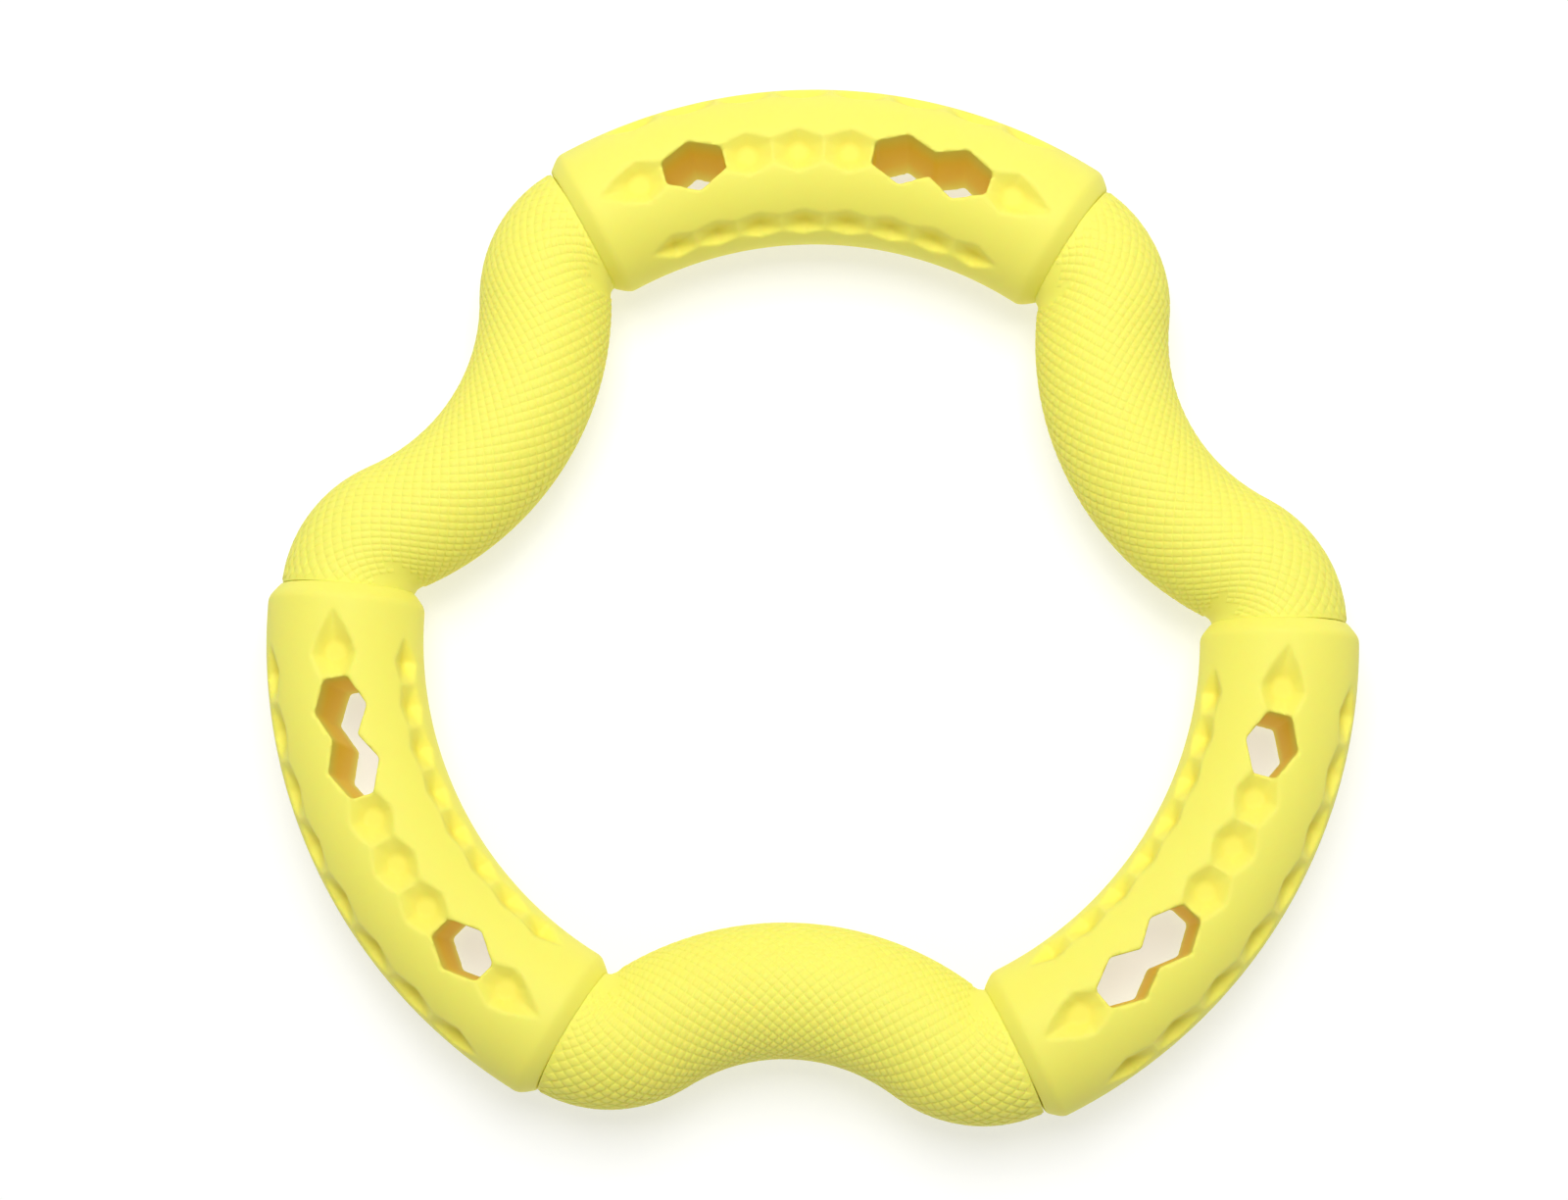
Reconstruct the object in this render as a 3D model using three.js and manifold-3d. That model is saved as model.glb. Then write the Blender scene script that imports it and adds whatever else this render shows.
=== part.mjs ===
// A moulded rubber tug-and-throw ring: three thick smooth grips, joined by three
// thinner textured links that bow in towards the middle of the ring.
//
// Units are millimetres. The ring lies flat: its axis is Z, the origin is the point
// on that axis at mid-thickness, and the first grip is centred on +Y.

import * as THREE from 'three';
import { ConvexGeometry } from 'three/addons/geometries/ConvexGeometry.js';
import { mergeVertices } from 'three/addons/utils/BufferGeometryUtils.js';
import Module from 'manifold-3d';

const wasm = await Module();
wasm.setup();

const degrees = THREE.MathUtils.degToRad;

// ---------------------------------------------------------------- driving dimensions

// The ring
const repeats = 3;                        // grips, and links between them
const gripDiameter = 28;
const linkDiameter = 24;                  // over the texture
const gripArcRadius = 80.5;               // centre line of a grip
const gripHalfAngle = degrees(33.5);      // from the middle of a grip to its seam
const elbowRadius = 13.9;                 // centre line of the tight bend beside a grip
const elbowAngle = degrees(61);
const bowRadius = 44;                     // centre line of the inward bow of a link

// The seam between a grip and a link
const seamGap = 0.3;
const collarLength = 2.6;                 // chamfered end of a grip
const collarLand = 0.5;                   // rounding left above the chamfer
const spigotDiameter = 15;                // on the end of a link, bonded into the grip
const spigotLength = 8;
const spigotClearance = 0.3;              // all round, and at the bottom of the socket

// The honeycomb rows along a grip
const rowsAround = 6;
const dimplePitch = 9.2;                  // along the centre line of the grip
const dimpleWidth = 8;                    // corner to corner, in the crown row
const sideDimpleWidth = 6.2;              // corner to corner, in the rows beside it
const dimpleDepth = 2.3;
const dimpleFloor = 0.36;                 // size of a dimple's floor, as a share of its rim
const tipReach = 2.6;                     // extra length of the pointed end dimples
const sideTipReach = 0.3;                 // the same, in the rows beside the crown row
const sideDraw = degrees(22);             // axis of a side dimple, from the mould's pull along Z
const holePitch = 10.4;
const holeWidth = 9.2;                    // corner to corner
const holeOverlap = 0.3;                  // past each end of its cell, so neighbours open up
const crownShift = 0.4;                   // the crown row lies this far inside the centre line

// Clockwise from above, along the crown row of one grip
const crownCells = ['tip', 'hole', 'dimple', 'dimple', 'dimple', 'hole', 'hole', 'tip'];
const sideCells = ['tip', 'dimple', 'dimple', 'dimple', 'dimple', 'dimple', 'dimple', 'tip'];

// Facets
const sidesAround = 24;                   // a multiple of 12 puts a flat under every row
const gripSteps = 14;
const linkSteps = 28;

// ---------------------------------------------------------------- worked-out sizes

const gripRadius = gripDiameter / 2;
const linkRadius = linkDiameter / 2;
const halfRepeat = Math.PI / repeats;
const bowAngle = gripHalfAngle + elbowAngle - halfRepeat;
const sideRowTurn = 2 * Math.PI / rowsAround;

// The bow's centre lies on the line through the middle of the link. That fixes how
// far the grip arcs stand from the axis of the ring.
const bowCentreAcross = (gripArcRadius - elbowRadius) * Math.sin(gripHalfAngle)
  + (elbowRadius + bowRadius) * Math.sin(gripHalfAngle + elbowAngle);
const bowCentreDistance = bowCentreAcross / Math.sin(halfRepeat);
const gripArcCentre = bowCentreAcross / Math.tan(halfRepeat)
  - (gripArcRadius - elbowRadius) * Math.cos(gripHalfAngle)
  - (elbowRadius + bowRadius) * Math.cos(gripHalfAngle + elbowAngle);

// ---------------------------------------------------------------- solids and meshes

// A solid from a closed geometry, moved to its place once its vertices are shared
function solidFrom(geometry, place = new THREE.Matrix4()) {
  const bare = geometry.clone();
  bare.deleteAttribute('normal');
  bare.deleteAttribute('uv');
  const merged = mergeVertices(bare, 1e-4).applyMatrix4(place);
  return new wasm.Manifold(new wasm.Mesh({
    numProp: 3,
    vertProperties: new Float32Array(merged.attributes.position.array),
    triVerts: new Uint32Array(merged.index.array),
  }));
}

function geometryFrom(solid) {
  const mesh = solid.getMesh();
  const geometry = new THREE.BufferGeometry();
  geometry.setAttribute('position', new THREE.BufferAttribute(new Float32Array(mesh.vertProperties), 3));
  geometry.setIndex(new THREE.BufferAttribute(new Uint32Array(mesh.triVerts), 1));
  geometry.computeVertexNormals();
  return geometry;
}

// A place on something, with x, y and z directions of its own
function placeAt(origin, x, y, z) {
  return new THREE.Matrix4().makeBasis(x, y, z).setPosition(origin);
}

// ---------------------------------------------------------------- the centre line

// A flat run of arcs in the XY plane. Each arc turns about its centre from one
// angle to another, both measured clockwise from +Y.
class ArcPath extends THREE.Curve {
  constructor(arcs) {
    super();
    this.arcs = arcs;
    this.total = arcs.reduce((sum, arc) => sum + ArcPath.lengthOf(arc), 0);
  }

  static lengthOf(arc) {
    return arc.radius * Math.abs(arc.to - arc.from);
  }

  getPoint(t, target = new THREE.Vector3()) {
    let along = t * this.total;
    let index = 0;
    while (index < this.arcs.length - 1 && along > ArcPath.lengthOf(this.arcs[index])) {
      along -= ArcPath.lengthOf(this.arcs[index]);
      index += 1;
    }
    const arc = this.arcs[index];
    const share = along / ArcPath.lengthOf(arc);
    const angle = arc.from + (arc.to - arc.from) * share;
    return target.set(
      arc.centre.x + arc.radius * Math.sin(angle),
      arc.centre.y + arc.radius * Math.cos(angle),
      0,
    );
  }
}

const gripArc = {
  centre: new THREE.Vector2(0, gripArcCentre),
  radius: gripArcRadius,
  from: -gripHalfAngle,
  to: gripHalfAngle,
};

// A link, drawn with its middle on +Y: elbow, inward bow, elbow
function linkArcs() {
  const reach = bowRadius + elbowRadius;
  const across = reach * Math.sin(bowAngle);
  const up = bowCentreDistance - reach * Math.cos(bowAngle);
  return [
    {
      centre: new THREE.Vector2(-across, up),
      radius: elbowRadius,
      from: bowAngle - elbowAngle,
      to: bowAngle,
    },
    {
      centre: new THREE.Vector2(0, bowCentreDistance),
      radius: bowRadius,
      from: Math.PI + bowAngle,
      to: Math.PI - bowAngle,
    },
    {
      centre: new THREE.Vector2(across, up),
      radius: elbowRadius,
      from: -bowAngle,
      to: elbowAngle - bowAngle,
    },
  ];
}

// A round bar with flat facets that touch the true circle
function barAlong(arcs, radius, steps) {
  const corner = radius / Math.cos(Math.PI / sidesAround);
  const section = new THREE.Shape();
  for (let i = 0; i < sidesAround; i += 1) {
    const angle = (i + 0.5) * 2 * Math.PI / sidesAround;
    const x = corner * Math.cos(angle);
    const y = corner * Math.sin(angle);
    if (i === 0) section.moveTo(x, y);
    else section.lineTo(x, y);
  }
  section.closePath();
  return solidFrom(new THREE.ExtrudeGeometry(section, { steps, extrudePath: new ArcPath(arcs) }));
}

// ---------------------------------------------------------------- ends of the grips

// The place of a seam on an arc, at an angle clockwise from +Y. Its y direction leads
// out of the piece: side is 1 at the clockwise end of a piece and -1 at the other.
function seamPlace(arc, angle, side) {
  const outward = new THREE.Vector3(side * Math.cos(angle), -side * Math.sin(angle), 0);
  const up = new THREE.Vector3(0, 0, 1);
  const origin = new THREE.Vector3(
    arc.centre.x + arc.radius * Math.sin(angle),
    arc.centre.y + arc.radius * Math.cos(angle),
    0,
  );
  return placeAt(origin, new THREE.Vector3().crossVectors(outward, up), outward, up);
}

// A round bar along y, from one distance out of a seam to another
function barAcrossSeam(radius, from, to) {
  const bar = new THREE.CylinderGeometry(radius, radius, to - from, sidesAround);
  return bar.translate(0, (from + to) / 2, 0);
}

// Everything outside the chamfered collar, as a ring about the way out of the grip.
// The chamfer meets the end face at the link's radius, and a softer second slope
// takes it up to the full radius of the grip.
function collarCutter() {
  const widen = 1 / Math.cos(Math.PI / sidesAround);
  const past = 2;
  const chamferLength = collarLength - collarLand;
  const slope = (gripRadius - collarLand - linkRadius) / chamferLength;
  const profile = [
    [linkRadius - slope * past, past],
    [gripRadius - collarLand, -chamferLength],
    [gripRadius + collarLand, -chamferLength - 4 * collarLand],
    [gripRadius + past, -chamferLength - 4 * collarLand],
    [gripRadius + past, past],
    [linkRadius - slope * past, past],
  ];
  const points = profile.map(([r, y]) => new THREE.Vector2(r * widen, y));
  return new THREE.LatheGeometry(points, sidesAround, Math.PI / sidesAround);
}

function socketCutter() {
  const past = 2;
  return barAcrossSeam(spigotDiameter / 2 + spigotClearance, -spigotLength - spigotClearance, past);
}

// ---------------------------------------------------------------- honeycomb cells

// A six-sided cell with corners across the row, or with one end drawn to a point.
// x runs along the row and y across it; point is -1, 0 or 1, and the point stands out
// by its reach.
function cellOutline(length, width, point, reach) {
  const flat = width * 0.22;              // half the flat that it shares with its neighbour
  const ends = { left: -length / 2, right: length / 2 };
  const outline = new THREE.Shape();
  outline.moveTo(0, width / 2);
  if (point < 0) {
    outline.lineTo(ends.left - reach, 0);
  } else {
    outline.lineTo(ends.left, flat);
    outline.lineTo(ends.left, -flat);
  }
  outline.lineTo(0, -width / 2);
  if (point > 0) {
    outline.lineTo(ends.right + reach, 0);
  } else {
    outline.lineTo(ends.right, -flat);
    outline.lineTo(ends.right, flat);
  }
  outline.closePath();
  return outline;
}

// A pit with leaning walls. Its corners lie on the round of the grip, so on the crest,
// at z = 0, it is a little longer than its cell and leaves a low ridge to the next.
// drift is how far its middle moves along y for each millimetre up z.
function dimpleCutter(length, width, point, reach, drift) {
  const corners = cellOutline(length, width, point, reach).getPoints();
  const cornerDrop = gripRadius - Math.sqrt(gripRadius ** 2 - (width / 2) ** 2);
  const lean = (1 - dimpleFloor) / (dimpleDepth - cornerDrop);
  const shell = [];
  for (const z of [-dimpleDepth, 1]) {
    const share = 1 + lean * (z + cornerDrop);
    for (const corner of corners) {
      const y = corner.y * share + drift * (z + cornerDrop);
      shell.push(new THREE.Vector3(corner.x * share, y, z));
    }
  }
  return new ConvexGeometry(shell);
}

function holeCutter() {
  const run = gripDiameter * 2;
  const outline = cellOutline(holePitch + 2 * holeOverlap, holeWidth, 0, 0);
  const geometry = new THREE.ExtrudeGeometry(outline, {
    depth: run,
    bevelEnabled: false,
  });
  return geometry.translate(0, 0, -run / 2);
}

// Cells of one row with their places along the grip, counted from its middle
function rowOfCells(kinds) {
  const pitchOf = (kind) => (kind === 'hole' ? holePitch : dimplePitch) / gripArcRadius;
  const total = kinds.reduce((sum, kind) => sum + pitchOf(kind), 0);
  let start = -total / 2;
  return kinds.map((kind, index) => {
    const angle = start + pitchOf(kind) / 2;
    start += pitchOf(kind);
    const point = kind === 'tip' ? Math.sign(index - kinds.length / 2 + 0.5) : 0;
    return { kind, angle, point };
  });
}

// The place on the grip's surface at an angle along it and a turn about its section,
// where a turn of 0 is the top and a quarter turn faces the middle of the ring
function surfacePlace(angle, turn, shift) {
  const outward = new THREE.Vector3(Math.sin(angle), Math.cos(angle), 0);
  const up = new THREE.Vector3(0, 0, 1);
  const along = new THREE.Vector3(Math.cos(angle), -Math.sin(angle), 0);
  const normal = up.multiplyScalar(Math.cos(turn)).addScaledVector(outward, -Math.sin(turn));
  const across = new THREE.Vector3().crossVectors(normal, along);
  const origin = new THREE.Vector3(0, gripArcCentre, 0)
    .addScaledVector(outward, gripArcRadius - shift)
    .addScaledVector(normal, gripRadius);
  return placeAt(origin, along, across, normal);
}

function honeycombCutters() {
  const cutters = [];
  for (let row = 0; row < rowsAround; row += 1) {
    const turn = row * sideRowTurn;
    const crown = Math.abs(Math.sin(turn)) < 1e-6;
    const shift = crown ? crownShift : 0;
    const width = crown ? dimpleWidth : sideDimpleWidth;
    const surfaceRadius = gripArcRadius - shift - gripRadius * Math.sin(turn);
    const length = dimplePitch * surfaceRadius / gripArcRadius;
    const reach = crown ? tipReach : sideTipReach;
    // A side dimple runs down nearly as the mould opens, towards the parting plane
    const facing = Math.sign(Math.sin(2 * turn));
    const drift = crown ? 0 : facing * Math.tan(sideRowTurn - sideDraw);
    for (const cell of rowOfCells(crown ? crownCells : sideCells)) {
      if (cell.kind === 'hole') {
        if (turn > 0) continue;           // a hole runs through to the row below
        const place = surfacePlace(cell.angle, turn, shift);
        cutters.push(solidFrom(holeCutter(), place));
      } else {
        const place = surfacePlace(cell.angle, turn, shift);
        cutters.push(solidFrom(dimpleCutter(length, width, cell.point, reach, drift), place));
      }
    }
  }
  return cutters;
}

// ---------------------------------------------------------------- pieces

// One grip, centred on +Y
function makeGrip() {
  let grip = barAlong([gripArc], gripRadius, gripSteps);
  for (const side of [-1, 1]) {
    const seam = seamPlace(gripArc, side * gripHalfAngle, side);
    grip = grip.subtract(solidFrom(collarCutter(), seam));
    grip = grip.subtract(solidFrom(socketCutter(), seam));
  }
  for (const cutter of honeycombCutters()) {
    grip = grip.subtract(cutter);
  }
  return geometryFrom(grip);
}

// One link with its two spigots, drawn with its middle on +Y. Its ends are cut back
// from the seams by the gap, and the spigots cross it straight into the grips.
function makeLink() {
  const arcs = linkArcs();
  const past = 2;
  const root = 3;                         // how far a spigot starts inside the link
  let link = barAlong(arcs, linkRadius, linkSteps);
  for (const side of [-1, 1]) {
    const elbow = side < 0 ? arcs[0] : arcs[2];
    const seam = seamPlace(elbow, side < 0 ? elbow.from : elbow.to, side);
    link = link.subtract(solidFrom(barAcrossSeam(linkDiameter, -seamGap, past), seam));
    link = link.add(solidFrom(barAcrossSeam(spigotDiameter / 2, -root, spigotLength), seam));
  }
  return geometryFrom(link);
}

// ---------------------------------------------------------------- the assembly

const smoothRubber = { color: 0xf4ea4e, roughness: 0.5, metalness: 0 };
const texturedRubber = { color: 0xeee04a, roughness: 0.62, metalness: 0 };

const ring = new THREE.Group();
const gripNames = ['grip_top', 'grip_right', 'grip_left'];
const linkNames = ['link_right', 'link_bottom', 'link_left'];
const gripGeometry = makeGrip();
const linkGeometry = makeLink();

for (let i = 0; i < repeats; i += 1) {
  const grip = new THREE.Mesh(gripGeometry, new THREE.MeshStandardMaterial(smoothRubber));
  grip.name = gripNames[i];
  grip.rotation.z = -i * 2 * halfRepeat;
  ring.add(grip);

  const link = new THREE.Mesh(linkGeometry, new THREE.MeshStandardMaterial(texturedRubber));
  link.name = linkNames[i];
  link.rotation.z = -(2 * i + 1) * halfRepeat;
  ring.add(link);
}

export default ring;
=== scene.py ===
import math

import bpy
from mathutils import Matrix, Vector


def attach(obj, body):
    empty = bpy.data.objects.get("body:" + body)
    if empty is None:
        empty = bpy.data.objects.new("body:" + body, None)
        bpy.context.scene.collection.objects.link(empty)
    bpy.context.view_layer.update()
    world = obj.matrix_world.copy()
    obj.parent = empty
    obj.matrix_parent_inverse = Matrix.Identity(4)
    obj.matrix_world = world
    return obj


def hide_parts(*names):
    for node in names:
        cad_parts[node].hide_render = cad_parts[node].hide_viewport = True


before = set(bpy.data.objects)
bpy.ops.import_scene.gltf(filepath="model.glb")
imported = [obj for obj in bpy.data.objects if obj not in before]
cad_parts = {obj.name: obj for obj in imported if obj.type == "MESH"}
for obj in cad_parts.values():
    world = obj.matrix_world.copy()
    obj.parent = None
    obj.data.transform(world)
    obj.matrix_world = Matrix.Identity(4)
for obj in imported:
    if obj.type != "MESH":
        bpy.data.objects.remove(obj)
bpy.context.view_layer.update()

# ---------------------------------------------------------------- the three grips
# A grip is the thick, smooth part that a hand or a dog's jaw closes on: one thick bent
# bar of soft moulded rubber, with a chamfered collar at each end and rows of hexagonal
# pits along it. Three crown pits are cut right through.
MM = 0.001
GRIP_RADIUS = 14 * MM
LINK_RADIUS = 12 * MM                     # over its texture
ARC_RADIUS = 80.5 * MM                    # centre line of a grip
HALF_ANGLE = math.radians(33.5)           # from the middle of a grip to its seam
ELBOW_RADIUS = 13.9 * MM                  # centre line of the tight bend of a link
ELBOW_ANGLE = math.radians(61)
BOW_RADIUS = 44 * MM                      # centre line of the inward bow of a link
THIRD = math.radians(120)

# The three pieces of centre line run into each other smoothly, which places them all
reach = ELBOW_RADIUS + BOW_RADIUS
bow_across = ((ARC_RADIUS - ELBOW_RADIUS) * math.sin(HALF_ANGLE)
              + reach * math.sin(HALF_ANGLE + ELBOW_ANGLE))
ARC_CENTRE = Vector((0, bow_across / math.tan(THIRD / 2)
                     - (ARC_RADIUS - ELBOW_RADIUS) * math.cos(HALF_ANGLE)
                     - reach * math.cos(HALF_ANGLE + ELBOW_ANGLE), 0))


def new_piece(name):
    piece = bpy.context.object
    piece.name = piece.data.name = name
    return piece


def clear_selection():
    bpy.ops.object.select_all(action="DESELECT")


def pick(piece):
    clear_selection()
    piece.select_set(True)
    bpy.context.view_layer.objects.active = piece


def place(piece, matrix):
    """Puts the place in the mesh, and leaves the object at the origin."""
    pick(piece)
    piece.matrix_world = matrix
    bpy.ops.object.transform_apply(location=True, rotation=True, scale=True)


def finish_with(piece, kind, **settings):
    modifier = piece.modifiers.new(kind.title(), kind)
    for key, value in settings.items():
        setattr(modifier, key, value)
    pick(piece)
    bpy.ops.object.modifier_apply(modifier=modifier.name)


def section_at(centre, radius, angle, name, sides):
    """A ring of points across a centre line, at an angle clockwise from +Y."""
    clear_selection()
    bpy.ops.mesh.primitive_circle_add(vertices=sides, radius=GRIP_RADIUS)
    piece = new_piece(name)
    spot = centre + radius * Vector((math.sin(angle), math.cos(angle), 0))
    place(piece, Matrix.Translation(spot)
          @ Matrix.Rotation(-angle, 4, "Z") @ Matrix.Rotation(math.pi / 2, 4, "Y"))
    return piece


GRIP_SIDES = 120
GRIP_STEPS = 90
COLLAR_STEPS = [(0.5 * MM, 13.9 * MM), (0.6 * MM, 13.6 * MM),   # length and radius of
                (0.8 * MM, 13 * MM), (1.2 * MM, LINK_RADIUS)]   # each step of the chamfer
collar_angle = sum(distance for distance, radius in COLLAR_STEPS) / ARC_RADIUS
spin_angle = 2 * (HALF_ANGLE - collar_angle)
grip = section_at(ARC_CENTRE, ARC_RADIUS, -spin_angle / 2, "grip_top", GRIP_SIDES)
bpy.ops.object.mode_set(mode="EDIT")
bpy.ops.mesh.select_all(action="SELECT")
bpy.ops.mesh.spin(steps=GRIP_STEPS, angle=spin_angle, center=ARC_CENTRE, axis=(0, 0, 1))
bpy.ops.object.mode_set(mode="OBJECT")

# Each open end is drawn out to the seam and drawn in to the link's size, then closed
# by an end face with the socket for the link's spigot in it
SOCKET_RADIUS = 7.8 * MM
SOCKET_DEPTH = 8.3 * MM
NEARLY = 0.01 * MM                        # two points this near are in one plane
MERGE = 0.001 * MM


def select_where(piece, test):
    """Selects the points of a piece that pass a test, and leaves it in edit mode."""
    bpy.ops.object.mode_set(mode="EDIT")
    bpy.ops.mesh.select_mode(type="VERT")
    bpy.ops.mesh.select_all(action="DESELECT")
    bpy.ops.object.mode_set(mode="OBJECT")
    for vertex in piece.data.vertices:
        vertex.select = test(vertex.co)
    bpy.ops.object.mode_set(mode="EDIT")


def draw_out(distance, way, radius, from_radius, middle):
    """Extrudes the selected ring along a way, and resizes it about its own middle."""
    bpy.ops.mesh.extrude_region_move(TRANSFORM_OT_translate={"value": way * distance})
    share = radius / from_radius
    bpy.ops.transform.resize(value=(share, share, share), center_override=middle + way * distance)


for side in (-1, 1):
    end = side * spin_angle / 2
    middle = ARC_CENTRE + ARC_RADIUS * Vector((math.sin(end), math.cos(end), 0))
    way = side * Vector((math.cos(end), -math.sin(end), 0))
    select_where(grip, lambda co: abs((co - middle).dot(way)) < NEARLY
                 and (co - middle).length < GRIP_RADIUS * 1.07)
    before = GRIP_RADIUS
    for distance, radius in COLLAR_STEPS + [(0, SOCKET_RADIUS), (-SOCKET_DEPTH, SOCKET_RADIUS)]:
        draw_out(distance, way, radius, before, middle)
        middle, before = middle + way * distance, radius
    bpy.ops.mesh.edge_face_add()
    bpy.ops.object.mode_set(mode="OBJECT")
bpy.ops.object.mode_set(mode="EDIT")
bpy.ops.mesh.select_all(action="SELECT")
bpy.ops.mesh.remove_doubles(threshold=MERGE)
bpy.ops.mesh.normals_make_consistent(inside=False)
bpy.ops.object.mode_set(mode="OBJECT")

# The honeycomb: six rows of pits round the grip. A pit has six leaning walls and a
# small round floor, and an end pit is drawn to a point. The pits of the side rows lean
# nearly the way the mould opens, which leaves a steep upper wall over an open ledge.
ROWS = 6
ROW_TURN = math.radians(360 / ROWS)
PITCH = 9.2 * MM                          # along the centre line
CROWN_WIDTH = 8 * MM                      # corner to corner
SIDE_WIDTH = 6.2 * MM
PIT_DEPTH = 2.3 * MM
CROWN_FLOOR = 0.4                         # floor, as a share of the rim
SIDE_FLOOR = 0.15
SIDE_SHARE = 0.94                         # length of a side pit, as a share of its cell
SIDE_DRAW = math.radians(22)              # axis of a side pit, from the mould's pull
TIP_REACH = 2.6 * MM                      # of a pointed end pit, past its cell
SIDE_TIP_REACH = 0.3 * MM
HOLE_PITCH = 10.4 * MM
HOLE_WIDTH = 9.2 * MM                     # corner to corner
HOLE_OVERLAP = 0.3 * MM                   # past its cell, so that neighbours open up
CROWN_SHIFT = 0.4 * MM                    # the crown row lies inside the centre line
CROWN_FLAT = 0.88                         # a cell's flats, against a regular hexagon's
SIDE_FLAT = 1.05
CROWN_CELLS = ["tip", "hole", "pit", "pit", "pit", "hole", "hole", "tip"]
SIDE_CELLS = ["tip"] + 6 * ["pit"] + ["tip"]


def surface_place(angle, turn, shift):
    """A place on the grip, with x along its row, y across the row and z out of it."""
    outward = Vector((math.sin(angle), math.cos(angle), 0))
    along = Vector((math.cos(angle), -math.sin(angle), 0))
    normal = Vector((0, 0, 1)) * math.cos(turn) - outward * math.sin(turn)
    across = normal.cross(along)
    spot = ARC_CENTRE + outward * (ARC_RADIUS - shift) + normal * GRIP_RADIUS
    matrix = Matrix((along, across, normal)).transposed().to_4x4()
    return Matrix.Translation(spot) @ matrix


def cell_outline(length, width, flat, point, reach, height):
    """A six-sided outline with corners across the row, or with one end drawn to a point."""
    clear_selection()
    half = width / 2
    bpy.ops.mesh.primitive_circle_add(vertices=6, radius=half, location=(0, 0, height))
    tool = new_piece("tool")
    bpy.ops.object.transform_apply(location=True)
    select_where(tool, lambda co: abs(co.x) > NEARLY)
    stretch = length / 2 / (half * math.cos(math.radians(30)))
    bpy.ops.transform.resize(value=(stretch, flat, 1), center_override=(0, 0, 0))
    if point:
        bpy.ops.object.mode_set(mode="OBJECT")
        select_where(tool, lambda co: co.x * point > NEARLY)
        longer = 1 + reach / (length / 2)
        bpy.ops.transform.resize(value=(longer, 0, 1), center_override=(0, 0, height))
        bpy.ops.mesh.remove_doubles(threshold=MERGE)
    bpy.ops.mesh.select_all(action="SELECT")
    return tool


def close_ends(tool):
    """Fills the ring just drawn and the one it was drawn from."""
    bpy.ops.mesh.edge_face_add()
    bpy.ops.mesh.select_all(action="DESELECT")
    bpy.ops.mesh.select_non_manifold()
    bpy.ops.mesh.edge_face_add()
    bpy.ops.mesh.select_all(action="SELECT")
    bpy.ops.mesh.normals_make_consistent(inside=False)
    bpy.ops.object.mode_set(mode="OBJECT")
    return tool


def hole_tool(length, width):
    """A straight plug, from well above the grip to well below it."""
    above, below = 15 * MM, 45 * MM
    tool = cell_outline(length, width, CROWN_FLAT, 0, 0, above)
    bpy.ops.mesh.extrude_region_move(TRANSFORM_OT_translate={"value": (0, 0, -above - below)})
    return close_ends(tool)


def pit_tool(length, width, flat, point, reach, floor, drift):
    """A plug that narrows to a round floor, and drifts across the row as it goes down."""
    drop = GRIP_RADIUS - math.sqrt(GRIP_RADIUS ** 2 - (width / 2) ** 2)
    above = 1 * MM
    grown = 1 + (1 - floor) * (above + drop) / (PIT_DEPTH - drop)
    tool = cell_outline(length, width, flat, point, reach, above)
    bpy.ops.mesh.subdivide(number_cuts=3)
    bpy.ops.mesh.select_all(action="SELECT")
    bpy.ops.transform.resize(value=(grown, grown, 1), center_override=(0, 0, 0))
    bpy.ops.transform.translate(value=(0, drift * (above + drop), 0))
    bpy.ops.mesh.extrude_region_move(
        TRANSFORM_OT_translate={"value": (0, -drift * (above + PIT_DEPTH), -above - PIT_DEPTH)})
    middle = (0, -drift * (PIT_DEPTH - drop), -PIT_DEPTH)
    bpy.ops.transform.resize(value=(floor / grown, floor / grown, 1), center_override=middle)
    bpy.ops.transform.tosphere(value=1)
    return close_ends(tool)


def cut(piece, tool):
    finish_with(piece, "BOOLEAN", object=tool, operation="DIFFERENCE", solver="MANIFOLD")
    bpy.data.objects.remove(tool)


def row_places(cells):
    pitches = [(HOLE_PITCH if cell == "hole" else PITCH) / ARC_RADIUS for cell in cells]
    start = -sum(pitches) / 2
    for index, (cell, pitch) in enumerate(zip(cells, pitches)):
        point = (-1 if index == 0 else 1) if cell == "tip" else 0
        yield cell, start + pitch / 2, point
        start += pitch


for row in range(ROWS):
    turn = row * ROW_TURN
    crown = row in (0, ROWS // 2)
    shift = CROWN_SHIFT if crown else 0
    width = CROWN_WIDTH if crown else SIDE_WIDTH
    floor = CROWN_FLOOR if crown else SIDE_FLOOR
    towards_parting = math.copysign(1, math.sin(2 * turn))
    drift = 0 if crown else towards_parting * math.tan(ROW_TURN - SIDE_DRAW)
    flat = CROWN_FLAT if crown else SIDE_FLAT
    tip_reach = TIP_REACH if crown else SIDE_TIP_REACH
    length = PITCH * (ARC_RADIUS - shift - GRIP_RADIUS * math.sin(turn)) / ARC_RADIUS
    if not crown:
        length *= SIDE_SHARE
    for cell, angle, point in row_places(CROWN_CELLS if crown else SIDE_CELLS):
        if cell != "hole":
            tool = pit_tool(length, width, flat, point, tip_reach, floor, drift)
        elif row == 0:
            tool = hole_tool(HOLE_PITCH + 2 * HOLE_OVERLAP, HOLE_WIDTH)
        else:
            continue                      # the plugs of the top row reach through here
        place(tool, surface_place(angle, turn, shift))
        cut(grip, tool)

# Moulding leaves every rim a little soft
finish_with(grip, "REMESH", mode="VOXEL", voxel_size=0.43 * MM, use_smooth_shade=True)
finish_with(grip, "SMOOTH", factor=0.5, iterations=1)

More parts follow.
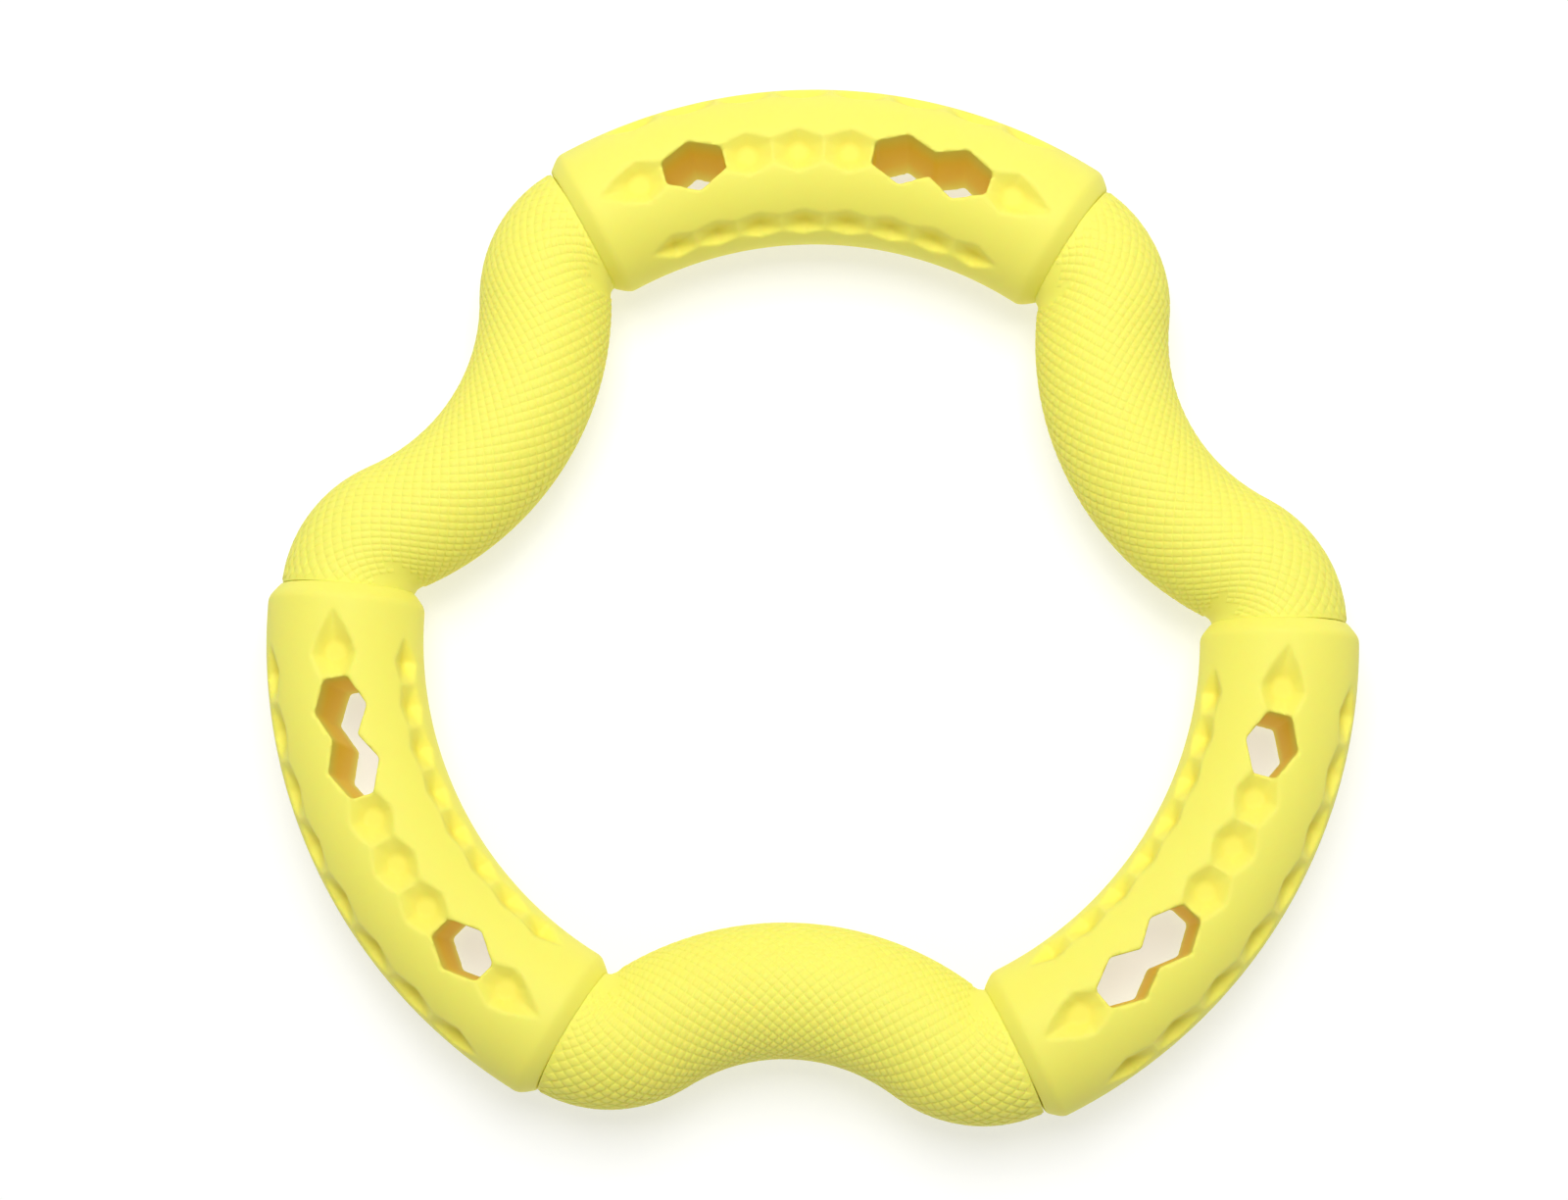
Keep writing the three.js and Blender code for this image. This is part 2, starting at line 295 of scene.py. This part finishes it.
# How deep each point lies under the round surface, which the material uses for its painted shade
# and painted glow
painted_light_depth = grip.data.attributes.new("painted_light_depth", "FLOAT", "POINT")
for vertex, value in zip(grip.data.vertices, painted_light_depth.data):
    spoke = vertex.co - ARC_CENTRE
    if abs(math.atan2(spoke.x, spoke.y)) < HALF_ANGLE - collar_angle:
        value.value = GRIP_RADIUS - math.hypot(math.hypot(spoke.x, spoke.y) - ARC_RADIUS, spoke.z)


# Material: soft rubber, with a fine moulded grain. The further down a cavity goes, its colour is
# painted a deeper orange as painted shade, and it glows a little as painted light standing in for
# light that soaks through the rubber there.
FULL_PAINTED_LIGHT = 8 * MM                        # depth with the whole of the tint
GRAIN = 0.35


def rubber(name, colour, deep):
    material = bpy.data.materials.new(name)
    material.use_nodes = True
    nodes, links = material.node_tree.nodes, material.node_tree.links
    shader = nodes["Principled BSDF"]
    coords = nodes.new("ShaderNodeTexCoord")
    cloud = nodes.new("ShaderNodeTexNoise")
    cloud.inputs["Scale"].default_value = 25
    cloud.inputs["Detail"].default_value = 3
    ramp = nodes.new("ShaderNodeValToRGB")
    ramp.color_ramp.elements[0].position, ramp.color_ramp.elements[1].position = 0.3, 0.7
    ramp.color_ramp.elements[0].color = (*deep, 1)
    ramp.color_ramp.elements[1].color = (*colour, 1)
    fine = nodes.new("ShaderNodeTexNoise")
    fine.inputs["Scale"].default_value = 2600
    fine.inputs["Detail"].default_value = 2
    bump = nodes.new("ShaderNodeBump")
    bump.inputs["Strength"].default_value = GRAIN
    bump.inputs["Distance"].default_value = 0.05 * MM
    links.new(coords.outputs["Object"], cloud.inputs["Vector"])
    links.new(coords.outputs["Object"], fine.inputs["Vector"])
    links.new(cloud.outputs["Fac"], ramp.inputs["Fac"])
    depth = nodes.new("ShaderNodeAttribute")
    depth.attribute_name = "painted_light_depth"
    share = nodes.new("ShaderNodeMapRange")
    share.inputs["From Max"].default_value = FULL_PAINTED_LIGHT
    # painted shade: the deeper a point lies in a cavity, the further its colour is mixed towards
    # orange
    painted_shade_tint = nodes.new("ShaderNodeMix")
    painted_shade_tint.data_type = "RGBA"
    painted_shade_tint.inputs[7].default_value = (0.88, 0.68, 0.05, 1)
    links.new(depth.outputs["Fac"], share.inputs["Value"])
    links.new(share.outputs["Result"], painted_shade_tint.inputs[0])
    links.new(ramp.outputs["Color"], painted_shade_tint.inputs[6])
    links.new(painted_shade_tint.outputs[2], shader.inputs["Base Color"])
    # painted glow: the deeper a point lies in a cavity, the more the rubber emits a faint orange
    # light, standing in for light that soaks through it
    painted_glow = nodes.new("ShaderNodeMix")     # light that soaks through the rubber
    painted_glow.data_type = "RGBA"
    painted_glow.inputs[6].default_value = (0, 0, 0, 1)
    painted_glow.inputs[7].default_value = (0.07, 0.045, 0.001, 1)
    links.new(share.outputs["Result"], painted_glow.inputs[0])
    links.new(painted_glow.outputs[2], shader.inputs["Emission Color"])
    shader.inputs["Emission Strength"].default_value = 1
    links.new(fine.outputs["Fac"], bump.inputs["Height"])
    links.new(bump.outputs["Normal"], shader.inputs["Normal"])
    shader.inputs["Roughness"].default_value = 0.6
    shader.inputs["Specular IOR Level"].default_value = 0.25
    shader.inputs["Subsurface Weight"].default_value = 0.3
    shader.inputs["Subsurface Radius"].default_value = (1, 0.5, 0.1)
    shader.inputs["Subsurface Scale"].default_value = 0.5 * MM
    return material


smooth_rubber = rubber("smooth rubber", (0.92, 0.87, 0.15), (0.91, 0.85, 0.14))
grip.data.materials.clear()
grip.data.materials.append(smooth_rubber)


def copies_round_the_ring(piece, names):
    """The other two of a kind, each with a mesh of its own, a third of a turn apart."""
    made = [piece]
    for step, name in enumerate(names, 1):
        pick(piece)
        bpy.ops.object.duplicate(linked=False)
        copy = new_piece(name)
        place(copy, Matrix.Rotation(-step * THIRD, 4, "Z"))
        made.append(copy)
    return made


grip.name = grip.data.name = "smooth_grip_top"
for piece, node in zip(copies_round_the_ring(grip, ["smooth_grip_right", "smooth_grip_left"]),
                       ["grip_top", "grip_right", "grip_left"]):
    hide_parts(node)
    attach(piece, "root")

# ---------------------------------------------------------------- the three links
# A link is a thinner bar of the same rubber, covered in fine staggered domes. It turns
# in at an elbow, bows towards the middle of the ring and turns out again, and a smooth
# spigot at each end is bonded into the grip beside it.
BASE_RADIUS = 11.8 * MM                   # under the domes
LINK_SIDES = 64
ELBOW_STEPS = 26
BOW_STEPS = 50
bow_half = HALF_ANGLE + ELBOW_ANGLE - THIRD / 2
bow_centre = Vector((0, bow_across / math.sin(THIRD / 2), 0))
elbow_centre = bow_centre + reach * Vector((-math.sin(bow_half), -math.cos(bow_half), 0))
start_angle = bow_half - ELBOW_ANGLE
link = section_at(elbow_centre, ELBOW_RADIUS, start_angle, "pebbled_link_right", LINK_SIDES)
bpy.ops.object.mode_set(mode="EDIT")
bpy.ops.mesh.select_all(action="SELECT")
share = BASE_RADIUS / GRIP_RADIUS
bpy.ops.transform.resize(value=(share, share, share))
for centre, angle, steps in [(elbow_centre, ELBOW_ANGLE, ELBOW_STEPS),
                             (bow_centre, -2 * bow_half, BOW_STEPS),
                             (elbow_centre * Vector((-1, 1, 1)), ELBOW_ANGLE, ELBOW_STEPS)]:
    bpy.ops.mesh.spin(steps=steps, angle=angle, center=centre, axis=(0, 0, 1))
bpy.ops.mesh.select_all(action="SELECT")
bpy.ops.mesh.normals_make_consistent(inside=False)
bpy.ops.object.mode_set(mode="OBJECT")

# Even squares over the whole link. It is blown up first, because the remesher fails on
# edges this short. Even with a fixed seed, the remesher's layout of the squares isn't
# quite the same in every run of this script, and the domes' layout follows it.
BLOWN_UP = 1000
SQUARES = 1350
place(link, Matrix.Scale(BLOWN_UP, 4))
bpy.ops.object.quadriflow_remesh(use_preserve_boundary=True, mode="FACES",
                                 target_faces=SQUARES, seed=0)
place(link, Matrix.Scale(1 / BLOWN_UP, 4))

# Turning the even squares into diamonds staggers the rows. Each diamond is then raised
# in three steps into a low dome, and the narrow ones beside the seams stay flat.
NARROWEST_DOME = 1 * MM
DOME_STEPS = [(0.13 * MM, 0.02 * MM), (0.14 * MM, 0.12 * MM), (0.18 * MM, 0.06 * MM)]


def width_of(face):
    """Roughly how wide a face is across its longest side."""
    corners = [link.data.vertices[index].co for index in face.vertices]
    return face.area / max((a - b).length for a, b in zip(corners, corners[1:] + corners[:1]))


bpy.ops.object.mode_set(mode="EDIT")
bpy.ops.mesh.select_mode(type="FACE")
bpy.ops.mesh.select_all(action="SELECT")
bpy.ops.mesh.poke()
bpy.ops.mesh.tris_convert_to_quads(face_threshold=math.pi, shape_threshold=math.pi)
bpy.ops.mesh.select_all(action="DESELECT")
bpy.ops.object.mode_set(mode="OBJECT")
for face in link.data.polygons:
    face.select = len(face.vertices) == 4 and width_of(face) > NARROWEST_DOME
bpy.ops.object.mode_set(mode="EDIT")
for thickness, depth in DOME_STEPS:
    bpy.ops.mesh.inset(thickness=thickness, depth=depth, use_individual=True,
                       use_even_offset=False)
bpy.ops.mesh.select_mode(type="VERT")
bpy.ops.object.mode_set(mode="OBJECT")

# A spigot on each end
SPIGOT_RADIUS = 7.5 * MM
SPIGOT_LENGTH = 8 * MM
SEAM_PRESS = 0.15 * MM                    # the soft end faces are pressed together
for side in (-1, 1):
    turn = side * -start_angle
    centre = elbow_centre * Vector((-side, 1, 1))
    middle = centre + ELBOW_RADIUS * Vector((math.sin(turn), math.cos(turn), 0))
    way = side * Vector((math.cos(turn), -math.sin(turn), 0))
    pick(link)
    select_where(link, lambda co: False)
    bpy.ops.mesh.select_non_manifold()
    bpy.ops.object.mode_set(mode="OBJECT")
    for vertex in link.data.vertices:
        vertex.select = vertex.select and (vertex.co - middle).length < LINK_RADIUS * 1.2
    for edge in link.data.edges:
        edge.select = all(link.data.vertices[i].select for i in edge.vertices)
    bpy.ops.object.mode_set(mode="EDIT")
    before = BASE_RADIUS
    for distance, radius in [(SEAM_PRESS, BASE_RADIUS), (0, SPIGOT_RADIUS),
                             (SPIGOT_LENGTH - SEAM_PRESS, SPIGOT_RADIUS)]:
        draw_out(distance, way, radius, before, middle)
        middle, before = middle + way * distance, radius
    bpy.ops.mesh.edge_face_add()
    bpy.ops.object.mode_set(mode="OBJECT")
for polygon in link.data.polygons:
    polygon.use_smooth = True

pebbled_rubber = rubber("pebbled rubber", (0.92, 0.88, 0.15), (0.91, 0.86, 0.14))
link.data.materials.clear()
link.data.materials.append(pebbled_rubber)
place(link, Matrix.Rotation(-THIRD / 2, 4, "Z"))
for piece, node in zip(copies_round_the_ring(link, ["pebbled_link_bottom", "pebbled_link_left"]),
                       ["link_right", "link_bottom", "link_left"]):
    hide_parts(node)
    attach(piece, "root")

# ---------------------------------------------------------------- the studio
# A pale floor under the ring, which glows a little to thin the shadows, a white tent of
# light, and a soft lamp above and a little beyond the ring.
clear_selection()
bpy.ops.mesh.primitive_plane_add(size=4, location=(0, 0, -GRIP_RADIUS))
floor = new_piece("floor")
bpy.ops.object.transform_apply(location=True)
paper = bpy.data.materials.new("white paper")
paper.use_nodes = True
sheet = paper.node_tree.nodes["Principled BSDF"]
sheet.inputs["Base Color"].default_value = (0.5, 0.5, 0.5, 1)
sheet.inputs["Roughness"].default_value = 0.9
sheet.inputs["Specular IOR Level"].default_value = 0.1
sheet.inputs["Emission Color"].default_value = (1, 1, 1, 1)
sheet.inputs["Emission Strength"].default_value = 0.55
floor.data.materials.append(paper)

world = bpy.data.worlds.new("white tent")
bpy.context.scene.world = world
world.use_nodes = True
world.node_tree.nodes["Background"].inputs["Color"].default_value = (1, 1, 1, 1)
world.node_tree.nodes["Background"].inputs["Strength"].default_value = 0.35

BEYOND, ABOVE = 0.26, 0.78                # the lamp's place, tipped back at the ring
bpy.ops.object.light_add(type="AREA", location=(0, BEYOND, ABOVE),
                         rotation=(-math.atan2(BEYOND, ABOVE), 0, 0))
lamp = bpy.context.object
lamp.name = "overhead_lamp"
lamp.data.size = 0.45
lamp.data.energy = 5.5

bpy.ops.object.camera_add(location=(0.0183, -0.0673, 0.5508),
                          rotation=(math.radians(7.49), math.radians(2.09), math.radians(2.43)))
camera = bpy.context.object
camera.name = "camera"
camera.data.lens = 71.2
camera.data.clip_start = 0.01
bpy.context.scene.camera = camera
bpy.context.scene.view_settings.view_transform = "Standard"
